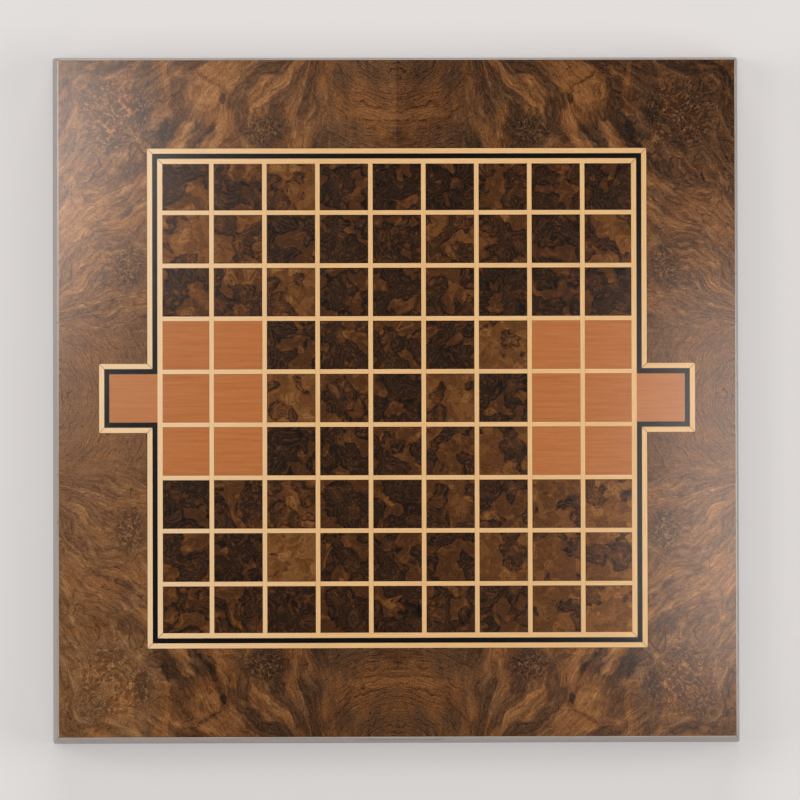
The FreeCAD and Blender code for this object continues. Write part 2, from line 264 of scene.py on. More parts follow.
def marks_of(at):
    """The sum of the leaf's marks at a place, as lighter and as redder, with a dark rim on each."""
    lighter = at.axis(0) * 0.0
    redder = lighter
    for middle_along, middle_in, half_long, half_wide, tilt, light, red in LEAF_MARKS:
        reach = at.reach_of(middle_along, middle_in, half_long, half_wide, tilt)
        inside = reach.rise(1.14, 0.82)
        lighter = lighter + inside * light - abs(reach - 1.08).rise(0.16, 0.0) * 0.025
        redder = redder + inside * red
    return lighter, redder


def contour_lines(at, scale, count, width):
    """Smooth bands that flow round the high and low places of soft noise."""
    part = (at.cloud(scale, 1.0, 0.45) * count).over_whole()
    return abs(part - 0.5).rise(width, 0.0)


def curl_lines(at, scale, count, width):
    """Thin curling lines, where soft noise passes whole steps."""
    part = (at.cloud(scale, 3.0, 0.55) * count).over_whole()
    return abs(part - 0.5).rise(width, 0.0)


def burl_border_material():
    """Walnut burl in eight leaves of one slice, folded at the middle of each side and at the mitres."""
    material, shader, place = new_material("walnut_burl_border", Specular_IOR_Level=0.58)
    x = place.axis(0)
    y = place.axis(1)
    across = abs(x)
    up = abs(y)
    along = across.at_most(up)
    out = across.at_least(up)
    inward = VENEER_HALF - out
    side = across > up
    leaf = (x > 0.0) * 0.9 + (y > 0.0) * 1.4
    flat = place.vector(along, inward, leaf)

    wild = along.rise(30.0, 100.0)
    push = flat.node("TexNoise", {"Vector": flat, "Scale": 0.021, "Detail": 1.0}, output=1)
    broad = flat.moved(push.moved((-0.5, -0.5, -0.5)).scaled(wild * 26.0 + 7.0))
    bent = broad.drift(0.08, 5.5, 1.0)
    curled = bent.drift(0.26, 2.4, 2.0)

    from_heart = curled.axis(1) + 19.0
    radius = (curled.axis(0) * curled.axis(0) + from_heart * from_heart).root()
    turn = curled.axis(0).turn_from(from_heart) * 60.0
    off_ray = curled.axis(0) - 45.0
    up_ray = curled.axis(1) + 65.0
    lean = off_ray.turn_from(up_ray) * 95.0
    reach = (off_ray * off_ray + up_ray * up_ray).root()
    by_middle = along.rise(70.0, 28.0)
    away = 1.0 - by_middle

    bold = place.vector(radius * 0.06, turn * 0.045, leaf * 0.1).cloud(1.0, 2.0, 0.55)
    arcs = place.vector(radius * 0.95, turn * 0.10, leaf * 0.1).cloud(1.0, 3.0, 0.68)
    rings = radius * 0.21 + (bold - 0.5) * 3.6
    ring_line = rings.over_whole().rise(0.34, 0.0)
    fine_rings = (radius * 0.50 + (arcs - 0.5) * 1.8).over_whole().rise(0.5, 0.0)
    hatch = place.vector(turn * 0.8, radius * 0.28, leaf * 0.1).cloud(1.0, 2.0, 0.6)

    bands = place.vector(lean * 0.075, reach * 0.022, leaf * 0.1 + 2.0).cloud(1.0, 2.0, 0.5)
    streaks = place.vector(lean * 0.26, reach * 0.040, leaf * 0.1 + 7.0).cloud(1.0, 2.0, 0.6)
    slants = place.vector(lean * 0.62, reach * 0.10, leaf * 0.1 + 5.0).cloud(1.0, 3.0, 0.75)
    cracks = contour_lines(place.vector(lean * 0.11, reach * 0.030, leaf * 0.1 + 9.0), 1.0, 6.0, 0.085)
    broken = slants.rise(0.44, 0.56)
    hair = place.vector(radius * 1.9, turn * 0.5, leaf * 0.2).cloud(1.0, 2.0, 0.7)
    pores = flat.cloud(1.0, 2.0, 0.75)
    warmth = broad.cloud(0.026, 2.0, 0.5)
    lighter, redder = marks_of(flat.drift(0.06, 11.0, 2.0).drift(0.22, 5.0, 2.0))

    by_frame = flat.reach_of(97.0, 52.0, 18.0, 12.0)
    in_corner = curled.reach_of(210.0, 37.0, 32.0, 30.0)
    round_knot = abs(in_corner + (warmth - 0.5) * 0.8 - 1.35).rise(0.42, 0.0)
    knots = (in_corner + (pores - 0.5) * 0.5).rise(1.10, 0.75).at_least(by_frame.rise(1.2, 0.6))
    here = curled.cloud(0.085, 2.0, 0.6)
    tangle = curl_lines(curled.drift(0.22, 4.0, 2.0), 0.080, 7.0, 0.20) * here.rise(0.40, 0.56)
    small_tangle = curl_lines(curled.drift(0.4, 1.6, 1.0), 0.13, 6.0, 0.20) * here.rise(0.62, 0.44)
    eye = curled.drift(0.4, 1.5, 1.0).eyes(0.20)
    eye_ring = eye.rise(0.18, 0.30) * eye.rise(0.54, 0.40)
    eye_core = eye.rise(0.18, 0.06)

    calm = 1.0 - knots
    open_grain = away * calm
    tone = 0.505 + lighter * (1.0 - side * 0.75)
    tone = tone + (bands.rise(0.44, 0.56) - 0.5) * open_grain * (0.10 - side * 0.06)
    tone = tone + (bands - 0.5) * (0.22 - side * 0.14)
    tone = tone + (streaks - 0.5) * open_grain * (0.34 - side * 0.10)
    tone = tone + streaks.rise(0.56, 0.64) * open_grain * 0.08
    tone = tone + (slants - 0.5) * (open_grain * (side * 0.20 + 0.58) + 0.10) + (hair - 0.5) * 0.40 + (pores - 0.5) * 0.46
    tone = tone - cracks * broken * open_grain * (side * 0.08 + 0.22)
    tone = tone + (arcs - 0.5) * by_middle * 0.34 - ring_line * bold.rise(0.36, 0.60) * by_middle * 0.20
    tone = tone - fine_rings * by_middle * 0.13 + (hatch - 0.5) * by_middle * 0.20
    filigree = tangle * 0.28 + small_tangle * 0.25 + eye_ring * 0.08 - eye_core * 0.12 - 0.18
    tone = tone + filigree * knots - round_knot * 0.09
    # Leaves and corners lighter or darker one by one: partly the leaves' own tone, partly painted light and
    # shade. They are lighter at the left and right sides, most at the left and the lower left corner, and
    # darker at the top right.
    to_corner = along.rise(140.0, 200.0)
    leaf_tone_and_painted_light = side * ((x < 0.0) * (0.040 + by_middle * 0.04 + (y < 0.0) * 0.04) + 0.025)
    leaf_tone_and_painted_light = leaf_tone_and_painted_light + (1.0 - side) * (y > 0.0) * ((x < 0.0) * 0.10 - 0.05)
    leaf_tone_and_painted_light = leaf_tone_and_painted_light - (1.0 - side) * (x < 0.0) * (y < 0.0) * away * 0.05
    corner_tone_and_painted_light = (x < 0.0) * (y < 0.0) * 0.195 + (x > 0.0) * (y < 0.0) * 0.08 + (x < 0.0) * (y > 0.0) * 0.05
    corner_tone_and_painted_light = corner_tone_and_painted_light - (x > 0.0) * (y > 0.0) * 0.05
    tone = tone + leaf_tone_and_painted_light * (1.0 - to_corner) + corner_tone_and_painted_light * to_corner

    grey_brown = tone.ramp([
        (0.12, (0.0130, 0.0066, 0.0036)),
        (0.34, (0.0520, 0.0235, 0.0100)),
        (0.50, (0.1200, 0.0530, 0.0215)),
        (0.68, (0.2150, 0.1020, 0.0420)),
        (0.90, (0.3800, 0.2150, 0.0980)),
    ])
    red_brown = tone.ramp([
        (0.12, (0.0200, 0.0078, 0.0034)),
        (0.34, (0.0800, 0.0285, 0.0090)),
        (0.50, (0.1750, 0.0660, 0.0195)),
        (0.68, (0.3000, 0.1230, 0.0380)),
        (0.90, (0.4600, 0.2350, 0.0860)),
    ])
    warm = warmth * 0.5 + bands * 0.5 + redder * 0.14 - knots * 0.06 - side * 0.03
    red_share = warm.rise(0.40, 0.60) * (1.0 - side * 0.45) + side * 0.20
    colour = red_share.blend(grey_brown, red_brown)
    seam = (along.rise(0.25, 0.06) * 0.4).at_least(inward.rise(0.45, 0.12) * 0.9)
    seam = seam.at_least((VENEER_HALF - OUTLINE_HALF - inward).rise(0.45, 0.12) * 0.7)
    colour = joint_shade(colour, seam)
    rough = hair.stretch(0.3, 0.7, *LACQUER)
    lustre = streaks.stretch(0.3, 0.7, 0.12, 0.20)
    normal = relief(hair * 0.5 + slants * 0.5 - seam * 0.6, 0.00004)
    connect(shader, Base_Color=colour, Roughness=rough, Metallic=lustre, Normal=normal)
    return material


def dark_burl_material():
    """Dark walnut burl squares. Squares of a column that lie two rows apart share a figure."""
    material, shader, place = new_material("dark_walnut_burl")
    x = place.axis(0)
    y = place.axis(1)
    column = (x / SQUARE_PITCH + 0.5).floor()
    row = (y / SQUARE_PITCH + 0.5).floor()
    odd_row = abs(row - (row * 0.5).floor() * 2.0)
    local_x = x - column * SQUARE_PITCH
    local_y = y - row * SQUARE_PITCH
    cut = place.vector(local_x + column * 61.7 + odd_row * 233.0,
                       local_y + column * 43.9 - odd_row * 171.0 + row * 1.1,
                       row * 1.3 + column * 17.0)
    one_square = place.vector(column, row, 4.0)
    mood = one_square.node("TexWhiteNoise", {"Vector": one_square}, output=0)
    light = pale_squares(column, row)

    broad = cut.drift(0.05, 15.0, 1.0)
    curled = broad.drift(0.16, 6.5, 1.0)
    fine = curled.drift(0.42, 1.5, 1.0)
    lift = light * 0.15 + (mood - 0.5) * 0.06
    zones = curled.cloud(0.055, 1.0, 0.5) + lift
    spots = fine.cloud(0.10, 2.0, 0.5) + lift * 0.6
    brown = zones.rise(0.545, 0.590)
    flecks = spots.rise(0.54, 0.62)
    rim = abs(zones - 0.535).rise(0.022, 0.0)
    where = broad.cloud(0.06, 1.0, 0.5).rise(0.40, 0.56)
    swirls = contour_lines(curled.drift(0.30, 1.6, 1.0), 0.045, 17.0, 0.30)
    curls = contour_lines(fine, 0.085, 11.0, 0.28)
    small_curls = curl_lines(fine, 0.20, 6.0, 0.26)
    eye = fine.eyes(0.075)
    eye_pick = fine.eyes(0.075, output=1).axis(0).rise(0.55, 0.60)
    eye_rings = abs((eye * 6.5).over_whole() - 0.5).rise(0.10, 0.34) * eye.rise(0.46, 0.34) * eye_pick
    eye_dot = eye.rise(0.09, 0.04) * eye_pick
    plain = 1.0 - eye.rise(0.46, 0.34) * eye_pick
    ember = fine.drift(0.5, 1.2).eyes(0.19).rise(0.34, 0.18) * broad.cloud(0.045, 2.0, 0.5).rise(0.52, 0.60)
    streak = fine.times((0.35, 1.3, 1.0)).cloud(0.6, 2.0, 0.65)
    pores = place.cloud(1.0, 2.0, 0.75)

    tone = 0.230 + brown * 0.20 + flecks * 0.10 + light * 0.11 + (mood - 0.5) * 0.06
    dark_part = (1.0 - brown * 0.6) * plain
    lines = swirls * where * 0.17 + (curls * 0.14 + small_curls * 0.07) * (1.1 - where)
    tone = tone + lines * dark_part + (1.0 - plain) * 0.06
    tone = tone - rim * 0.11 + eye_rings * 0.13 - eye_dot * 0.10
    tone = tone + (streak - 0.5) * 0.24 + (pores - 0.5) * 0.20 + ember * 0.06
    colour = tone.ramp([
        (0.12, (0.0085, 0.0043, 0.0023)),
        (0.30, (0.0330, 0.0140, 0.0056)),
        (0.46, (0.0890, 0.0314, 0.0094)),
        (0.64, (0.2060, 0.0775, 0.0196)),
        (0.90, (0.3700, 0.1750, 0.0540)),
    ])
    colour = (ember * 0.45).blend(colour, colour4(0.185, 0.053, 0.015))
    edge = abs(local_x).at_least(abs(local_y))
    seam = edge.rise(17.2, 17.6)
    colour = joint_shade(colour, seam, 0.85)
    rough = streak.stretch(0.3, 0.7, *LACQUER)
    lustre = zones.stretch(0.3, 0.7, 0.10, 0.30)
    normal = relief(streak * 0.6 - seam * 0.6, 0.00004)
    connect(shader, Base_Color=colour, Roughness=rough, Metallic=lustre, Normal=normal)
    return material


def pale_squares(column, row):
    """1 on the few squares that were cut from the lightest wood, and below 0 on the darkest."""
    tan = [(-2, 4), (-2, 2), (-2, 0), (-2, -3), (-4, 3), (4, -2), (4, -3), (4, -4)]
    golden = [(-3, 3), (2, 1), (2, -1), (1, 0), (-2, -2), (3, -3), (2, -3)]
    brown = [(-3, 4), (1, 3), (4, 3), (1, 2), (-3, 2), (-4, 2), (1, -1), (1, -2), (3, -2), (3, -4)]
    darkest = [(-1, 4), (0, 4), (1, 4), (4, 4), (-2, -1), (0, -3)]
    total = column * 0.0
    for share, squares in ((0.7, golden), (1.0, tan), (0.38, brown), (-0.35, darkest)):
        for at_column, at_row in squares:
            here = (abs(column - at_column) + abs(row - at_row)) < 0.5
            total = total + here * share
    return total


def pear_material():
    """Steamed pear with a fine straight grain along X."""
    material, shader, place = new_material("steamed_pear")
    x = place.axis(0)
    y = place.axis(1)
    column = (x / SQUARE_PITCH + 0.5).floor()
    row = (y / SQUARE_PITCH + 0.5).floor()
    cut = place.vector(x * 0.02 + column * 7.3, y + row * 31.0 + column * 13.0, column + row * 2.0)
    wavy = cut.drift(0.06, 1.6, 1.0)
    streaks = wavy.times((1.0, 0.45, 1.0)).cloud(1.0, 3.0, 0.65)
    lines = wavy.times((3.0, 2.2, 1.0)).cloud(1.0, 2.0, 0.6)
    fleck = place.times((0.35, 3.2, 1.0)).cloud(1.0, 2.0, 0.6)
    tone = 0.5 + (streaks - 0.5) * 0.48 + (lines - 0.5) * 0.25 + (fleck - 0.5) * 0.22
    colour = tone.ramp([
        (0.25, (0.330, 0.093, 0.024)),
        (0.48, (0.455, 0.148, 0.041)),
        (0.75, (0.565, 0.212, 0.068)),
    ])
    local_x = x - column * SQUARE_PITCH
    local_y = y - row * SQUARE_PITCH
    in_goal = abs(x) > BLACK_HALF
    seam = abs(local_y).rise(17.35, 17.7).at_least(abs(local_x).rise(17.35, 17.7) * (1.0 - in_goal))
    colour = (in_goal * 0.3).blend(colour, colour4(0.57, 0.25, 0.105))
    colour = joint_shade(colour, seam, 0.5)
    normal = relief(lines * 0.5 + fleck * 0.5 - seam * 0.6, 0.00004)
    connect(shader, Base_Color=colour, Roughness=fleck.stretch(0.3, 0.7, *LACQUER), Normal=normal)
    return material


def stringing_material(name, dark, light, rule, joints, painted_sheen=0.0):
    """Thin strips with their grain along their length. rule gives 1 where a strip runs along X,
    joints gives 1 where two strips meet, and the last argument is the share of painted sheen, which makes the
    strips paler towards the left."""
    material, shader, place = new_material(name)
    x = place.axis(0)
    y = place.axis(1)
    along_x = rule(x, y)
    length = along_x * x + (1.0 - along_x) * y
    width = along_x * y + (1.0 - along_x) * x
    number = (width / 7.0).floor()
    cut = place.vector(length * 0.05 + number * 11.0, width * 0.9, number * 3.0)
    streaks = cut.cloud(1.0, 3.0, 0.6)
    fine = place.vector(length * 0.25, width * 3.4, number).cloud(1.0, 2.0, 0.6)
    piece = place.vector(length * 0.008 + number * 5.0, number * 7.0, 0.0).cloud(1.0, 1.0, 0.5)
    tone = streaks * 0.5 + fine * 0.25 + piece * 0.25
    joint = joints(x, y)
    colour = tone.stretch(0.3, 0.7, 0.0, 1.0).blend(dark, light)
    # Painted sheen: the strips are made paler and less saturated towards the left.
    if painted_sheen:
        colour = x.stretch(-180.0, -60.0, painted_sheen, 0.0).blend(colour, colour4(0.92, 0.72, 0.50))
    colour = joint_shade(colour, joint, 0.5)
    normal = relief(fine * 0.5 - joint * 0.5, 0.00003)
    connect(shader, Base_Color=colour, Roughness=fine.stretch(0.3, 0.7, *LACQUER), Normal=normal)
    return material


def runs_along_x(x, y):
    """1 on the strips of the frame and the goals that run along X."""
    frame_side = abs(y) > abs(x)
    beside_goal = (abs(x) > OUTLINE_HALF) * (abs(x) < GOAL_END)
    return frame_side.at_least(beside_goal)


def side_runs_along_x(x, y):
    return abs(y) > abs(x)


def mitres(x, y):
    """1 on the mitres of the frame's corners, and on those round the goals."""
    lead = abs(x) - abs(y)
    into_goal = LIGHT_HALF - GOAL_HALF - STRING
    outer_goal = GOAL_END - GOAL_HALF
    nearest = abs(lead).at_most(abs(lead - into_goal) + (abs(x) < BLACK_HALF) * 9.0)
    nearest = nearest.at_most(abs(lead - outer_goal))
    return nearest.rise(0.60, 0.22)


def butts(x, y):
    """1 at the two ends of each short strip of the grid."""
    from_middle = abs(x - (x / SQUARE_PITCH + 0.5).floor() * SQUARE_PITCH)
    return from_middle.rise(17.45, 17.75) * 0.85


def no_joints(x, y):
    return x * 0.0


def always(number):
    return lambda x, y: x * 0.0 + number


def solid_wood_material(name, along, dark, mid, light, figure=0.045, rough=0.5, coat=0.0, mitred=False):
    """Sawn wood with its grain along X or Y (0 or 1) and its figure also over the edges."""
    material, shader, place = new_material(name, Coat_Weight=coat, Coat_Roughness=0.35)
    long_way = place.axis(along)
    wide = place.axis(1 - along)
    height = place.axis(2)
    cut = place.vector(long_way * 0.006, wide * figure, height * figure * 1.4)
    bent = cut.drift(1.2, 0.5, 2.0)
    bands = bent.times((1.0, 5.0, 5.0)).cloud(1.0, 3.0, 0.6)
    pores = place.vector(long_way * 0.16, wide * 2.4, height * 2.4).cloud(1.0, 2.0, 0.65)
    haze = place.vector(long_way * 0.012, wide * 0.02, height * 0.03).cloud(1.0, 2.0, 0.5)
    ripple = place.vector(long_way * 0.11, wide * 0.02, height * 0.02).drift(0.9, 0.5).cloud(1.0, 1.0, 0.5)
    lines = place.vector(long_way * 0.05, wide * 1.1, height * 1.1).cloud(1.0, 2.0, 0.6)
    tone = 0.53 + (bands - 0.5) * 0.60 + (pores - 0.5) * 0.34 + (lines - 0.5) * 0.26
    tone = tone + (haze - 0.5) * 0.25 + (ripple - 0.5) * 0.12
    colour = tone.ramp([(0.30, dark), (0.52, mid), (0.74, light)])
    dent = pores * 0.7 + bands * 0.3
    if mitred:
        joint = abs(abs(long_way) - abs(wide)).rise(0.45, 0.12)
        colour = joint_shade(colour, joint, 0.55)
        dent = dent - joint * 0.5
    normal = relief(dent, 0.00007)
    connect(shader, Base_Color=colour, Roughness=pores.stretch(0.3, 0.7, rough - 0.04, rough + 0.05),
            Normal=normal)
    return material


def suede_material():
    """Brushed suede: a fine nap that lies darker or lighter where it was stroked."""
    material, shader, place = new_material("taupe_suede", Sheen_Weight=0.35, Sheen_Roughness=0.45,
                                           Specular_IOR_Level=0.12)
    nap = place.cloud(2.6, 3.0, 0.7)
    fibre = place.drift(0.5, 1.4).times((1.0, 0.45, 1.0)).cloud(3.4, 2.0, 0.7)
    strokes = place.drift(0.02, 30.0).times((0.5, 1.0, 1.0)).cloud(0.035, 2.0, 0.55)
    tone = nap * 0.35 + fibre * 0.3 + strokes * 0.35
    colour = tone.ramp([
        (0.30, (0.088, 0.066, 0.050)),
        (0.50, (0.150, 0.118, 0.093)),
        (0.70, (0.235, 0.192, 0.155)),
    ])
    normal = relief(nap * 0.5 + fibre * 0.5, 0.00025, 0.6)
    connect(shader, Base_Color=colour, Roughness=nap.stretch(0.3, 0.7, 0.86, 0.96), Normal=normal)
    return material


def brass_material(name, stained):
    """Satin brass with fine brush marks and a share of tarnish."""
    material, shader, place = new_material(name, Metallic=1.0)
    brushed = place.times((0.5, 6.0, 6.0)).cloud(1.0, 3.0, 0.65)
    stain = place.cloud(0.35, 3.0, 0.6)
    tone = brushed * 0.4 + stain * stained + (0.36 - stained * 0.6)
    colour = tone.ramp([
        (0.28, (0.52, 0.36, 0.14)),
        (0.50, (0.68, 0.49, 0.21)),
        (0.72, (0.76, 0.57, 0.27)),
    ])
    normal = relief(brushed, 0.00002)
    connect(shader, Base_Color=colour, Roughness=stain.stretch(0.3, 0.7, 0.24, 0.38), Normal=normal)
    return material


def rubber_material():
    material, shader, place = new_material("black_rubber", Specular_IOR_Level=0.35)
    grain = place.cloud(3.0, 3.0, 0.65)
    dust = place.cloud(0.4, 2.0, 0.5)
    colour = (grain * 0.5 + dust * 0.5).ramp([(0.35, (0.012, 0.012, 0.012)), (0.7, (0.032, 0.031, 0.030))])
    connect(shader, Base_Color=colour, Roughness=dust.stretch(0.3, 0.7, 0.55, 0.72),
            Normal=relief(grain, 0.00005))
    return material


def plywood_material():
    """Birch plywood: a plain pale face, and thin plies where the edge shows."""
    material, shader, place = new_material("birch_plywood", Specular_IOR_Level=0.3)
    x = place.axis(0)
    y = place.axis(1)
    height = place.axis(2)
    bent = place.vector(x * 0.012, y * 0.09, height * 0.2).drift(0.6, 1.1, 2.0)
    face = bent.cloud(1.6, 3.0, 0.55)
    fine = place.vector(x * 0.1, y * 1.9, height).cloud(1.0, 2.0, 0.6)
    tone = face * 0.7 + fine * 0.3
    colour = tone.ramp([
        (0.32, (0.420, 0.270, 0.140)),
        (0.52, (0.560, 0.400, 0.230)),
        (0.72, (0.650, 0.490, 0.310)),
    ])
    connect(shader, Base_Color=colour, Roughness=fine.stretch(0.3, 0.7, 0.55, 0.66),
            Normal=relief(fine, 0.00008))
    return material


def dress(node, material):
    shape = bpy.data.objects[node]
    shape.data.materials.clear()
    shape.data.materials.append(material)


def dress_frame():
    border = burl_border_material()
    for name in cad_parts:
        if name.startswith("burl_leaf_"):
            dress(name, border)
    dress("burl_squares", dark_burl_material())
    pear = pear_material()
    for name in ("home_squares", "goal_square_left", "goal_square_right"):
        dress(name, pear)
    box_dark = colour4(0.70, 0.405, 0.170)
    box_light = colour4(0.89, 0.570, 0.275)
    frame_string = stringing_material("boxwood_frame", box_dark, box_light, runs_along_x, mitres, 0.4)
    dress("inner_light_line", frame_string)
    dress("outer_light_line", frame_string)
    dress("grid_long_strips", stringing_material("boxwood_long", box_dark, box_light, always(0.0),
                                                no_joints, 0.4))
    dress("grid_short_strips", stringing_material("boxwood_short", box_dark, box_light, always(1.0),
                                                 butts, 0.4))
    dress("black_line", stringing_material("black_string", colour4(0.0012, 0.0010, 0.0010),
                                           colour4(0.0050, 0.0042, 0.0040), runs_along_x, mitres))
    dress("edge_strings", stringing_material("pale_edge_string", colour4(0.33, 0.285, 0.250),
                                             colour4(0.47, 0.415, 0.370), side_runs_along_x, mitres))
    grey = ((0.34, 0.275, 0.245), (0.42, 0.342, 0.305), (0.50, 0.415, 0.372))
    walnut = ((0.055, 0.030, 0.017), (0.105, 0.058, 0.032), (0.165, 0.098, 0.056))
    for along, sides in ((0, ("front", "back")), (1, ("left", "right"))):
        harewood = solid_wood_material("grey_sycamore_%d" % along, along, *grey, figure=0.05, rough=0.40,
                                       coat=0.1, mitred=True)
        lining = solid_wood_material("oiled_walnut_%d" % along, along, *walnut, figure=0.06, rough=0.5)
        for side in sides:
            dress("base_wall_" + side, harewood)
            dress("lid_rail_" + side, harewood)
            dress("liner_" + side, lining)
        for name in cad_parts:
            if name.startswith("divider_"):
                runs_x = name.startswith("divider_cross")
                if runs_x == (along == 0):
                    dress(name, lining)
    dress("lid_backing_veneer", solid_wood_material("walnut_backing", 0, *walnut, figure=0.03))
    ply = plywood_material()
    dress("lid_core", ply)
    dress("base_floor", ply)
    beech = solid_wood_material("beech_tongue", 0, (0.42, 0.25, 0.13), (0.52, 0.33, 0.18), (0.60, 0.40, 0.24))
    dress("lid_corner_keys", beech)
    dress("base_corner_keys", beech)
    brass = brass_material("satin_brass", 0.45)
    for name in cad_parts:
        if name.startswith("hinge_"):
            dress(name, brass)
    hinge_screws(brass_material("bright_screw_brass", 0.2))
    rubber = rubber_material()
    dress("feet", rubber)
    dress("rim_bumpers", rubber)


def mesh_object(name, vertices, faces, material):
    mesh = bpy.data.meshes.new(name)
    mesh.from_pydata(vertices, [], faces)
    mesh.materials.append(material)
    mesh.update()
    shape = bpy.data.objects.new(name, mesh)
    bpy.context.scene.collection.objects.link(shape)
    for polygon in mesh.polygons:
        polygon.use_smooth = True
    return shape


def pad_lines(low, high, step):
    """Places across a pad, close together where its edge rolls over."""
    roll = [0.0, 0.12, 0.4, 0.8, 1.3, 2.0, 3.0, 4.4]
    inner_low = low + roll[-1]
    inner_high = high - roll[-1]
    count = max(2, int((inner_high - inner_low) / step))
    middle = [inner_low + (inner_high - inner_low) * n / count for n in range(1, count)]
    return [low + r for r in roll] + middle + [high - r for r in reversed(roll)]


def pad_height(edge, thick):
    """Height of a soft pad at this distance from its edge."""
    roll = 2.6
    share = min(1.0, max(0.0, edge / roll))
    rounded = (1.0 - (1.0 - share) ** 2.4) ** (1 / 2.4)
    crown = 1.0 - math.exp(-edge / 14.0)
    return thick * (0.80 * rounded + 0.17 * crown * rounded)


def suede_pads(name, nodes_box, places, suede, down=False, step=6.0):
    """Soft pads of board wrapped in suede, one for each place, as one piece."""
    vertices = []
    faces = []
    z0, thick = nodes_box
    for x0, x1, y0, y1 in places:
        xs = pad_lines(x0, x1, step)
        ys = pad_lines(y0, y1, step)
        start = len(vertices)
        for y in ys:
            for x in xs:
                edge_x = min(x - x0, x1 - x)
                edge_y = min(y - y0, y1 - y)
                rise = pad_height(edge_x, 1.0) * pad_height(edge_y, 1.0) * thick
                soft = field.noise(Vector((x * 0.045, y * 0.045, 3.0))) * 0.05 * thick
                inside = min(1.0, min(edge_x, edge_y) / 6.0)
                rise = min(thick, max(0.0, rise + soft * inside))
                z = z0 - rise if down else z0 + rise
                vertices.append((x * MM, y * MM, z * MM))
        wide = len(xs)
        tall = len(ys)
        for row in range(tall - 1):
            for column in range(wide - 1):
                a = start + row * wide + column
                quad = [a, a + 1, a + wide + 1, a + wide]
                faces.append(quad[::-1] if down else quad)
        rim = [start + n for n in range(wide)]
        rim += [start + row * wide + wide - 1 for row in range(1, tall)]
        rim += [start + (tall - 1) * wide + n for n in range(wide - 2, -1, -1)]
        rim += [start + row * wide for row in range(tall - 2, 0, -1)]
        faces.append(rim if down else rim[::-1])
    return mesh_object(name, vertices, faces, suede)


def node_solids(name):
    """The flat outline of each separate block of a node, in millimetres."""
    mesh = bpy.data.objects[name].data
    loose = bmesh.new()
    loose.from_mesh(mesh)
    bmesh.ops.remove_doubles(loose, verts=loose.verts, dist=1e-6)
    boxes = []
    seen = set()
    for vertex in loose.verts:
        if vertex in seen:
            continue
        group = [vertex]
        seen.add(vertex)
        for member in group:
            for edge in member.link_edges:
                other = edge.other_vert(member)
                if other not in seen:
                    seen.add(other)
                    group.append(other)
        xs = [v.co.x / MM for v in group]
        ys = [v.co.y / MM for v in group]
        boxes.append((min(xs), max(xs), min(ys), max(ys)))
    loose.free()
    return boxes


def soften(suede):
    """Put soft suede pieces in place of the plain blocks."""
    for bay in ("left", "middle", "right"):
        node = "well_pads_" + bay
        low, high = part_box(node)
        span = (low[2] / MM, (high[2] - low[2]) / MM)
        pads = suede_pads("suede_pads_" + bay, span, node_solids(node), suede)
        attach(pads, "base")
        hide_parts(node)
    low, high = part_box("lid_lining")
    span = (high[2] / MM, (high[2] - low[2]) / MM)
    outline = [(low[0] / MM, high[0] / MM, low[1] / MM, high[1] / MM)]
    lining = suede_pads("suede_lining", span, outline, suede, down=True, step=8.0)
    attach(lining, "lid")
    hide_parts("lid_lining")


SCREW_SIZES = {
    "Length": 0.011, "Head Radius": 0.00195, "Head Height": 0.0011, "Core Radius": 0.00085,
    "Thread Radius": 0.0011, "Thread Pitch": 0.0009, "Tip Length": 0.0025,
    "Slot Width": 0.00055, "Slot Depth": 0.0006, "Turned Over": 0.0,
}


